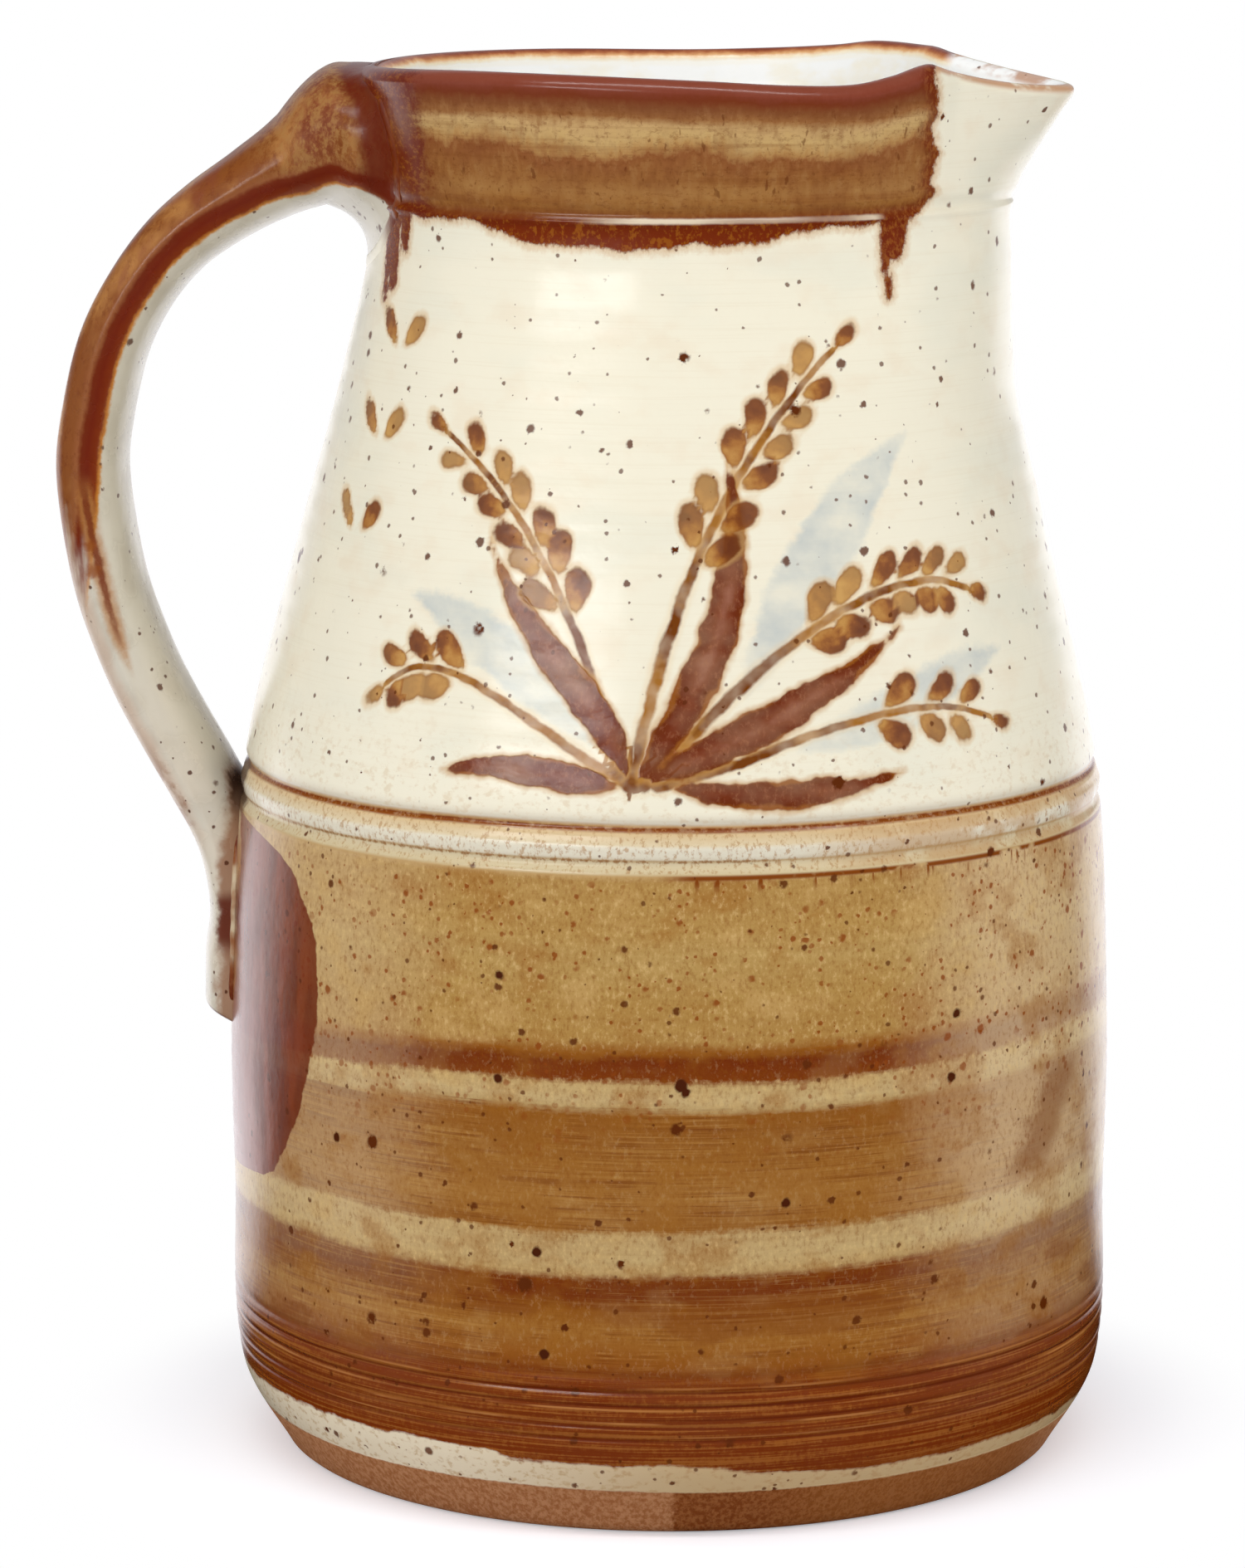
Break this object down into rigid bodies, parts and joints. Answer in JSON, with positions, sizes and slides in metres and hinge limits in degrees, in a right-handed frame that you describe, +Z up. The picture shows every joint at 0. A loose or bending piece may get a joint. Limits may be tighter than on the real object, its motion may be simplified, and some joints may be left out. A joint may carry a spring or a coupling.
{
  "type": "pottery pitcher",
  "caption": "Wheel-thrown stoneware pitcher with a grooved waist, flared collar, pulled pouring lip and strap handle.",
  "frame": {"origin": "centre of the flat foot, on the axis of the thrown body", "axes": "+Z up along the axis of the body, +X towards the spout, -X towards the handle"},
  "size_m": [0.1914, 0.1604, 0.2532],
  "materials": {
    "body_glaze": "semi-gloss speckled cream glaze above the waist, ochre and iron-brown brushed bands below, bare clay foot",
    "handle_glaze": "semi-gloss iron-brown glaze that breaks to cream on the underside",
    "joint_slip": "fired slip under pooled dark iron glaze"
  },
  "bodies": {
    "root": {"pitcher_body": "body_glaze", "handle": "handle_glaze", "upper_slip_seam": "joint_slip", "lower_slip_seam": "joint_slip"}
  },
  "joints": []
}
